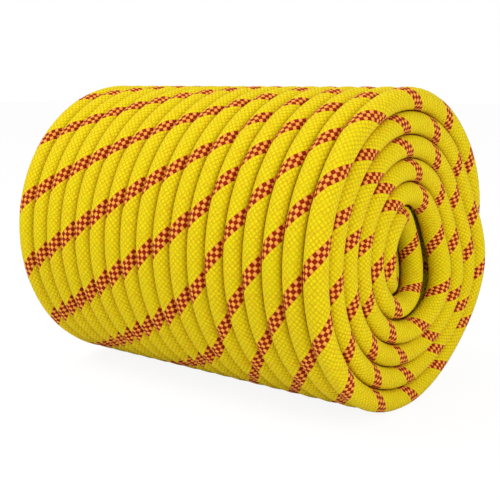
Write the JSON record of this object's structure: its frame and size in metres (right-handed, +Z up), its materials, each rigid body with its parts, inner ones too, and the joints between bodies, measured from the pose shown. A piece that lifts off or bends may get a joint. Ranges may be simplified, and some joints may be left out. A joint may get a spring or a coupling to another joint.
{
  "type": "dynamic climbing rope",
  "caption": "Yellow dynamic climbing rope with a red and orange tracer, wound as a neat horizontal cylinder of layered turns.",
  "frame": {"origin": "middle of the coil's footprint, on the surface that it lies on", "axes": "+X along the coil's axis, out of the near face; +Z up; +Y to the right as seen facing the near face"},
  "size_m": [0.1974, 0.1484, 0.1479],
  "materials": {
    "sheath_yarn": "braided polyamide, satin",
    "core_yarn": "plied polyamide, matte",
    "marker_yarn": "thin coloured yarn",
    "fused_nylon": "melted and rounded",
    "shrink_tube": "shrunk tube, satin"
  },
  "bodies": {
    "root": {"sheath": "sheath_yarn", "core_marker_thread": "marker_yarn", "inner_layers": "sheath_yarn", "outer_end_tip": "fused_nylon", "inner_end_tip": "fused_nylon", "outer_end_sleeve": "shrink_tube", "inner_end_sleeve": "shrink_tube", "core_strand_01": "core_yarn", "core_strand_02": "core_yarn", "core_strand_03": "core_yarn", "core_strand_04": "core_yarn", "core_strand_05": "core_yarn", "core_strand_06": "core_yarn", "core_strand_07": "core_yarn", "core_strand_08": "core_yarn", "core_strand_09": "core_yarn", "core_strand_10": "core_yarn", "core_strand_11": "core_yarn", "core_strand_12": "core_yarn"}
  },
  "joints": []
}
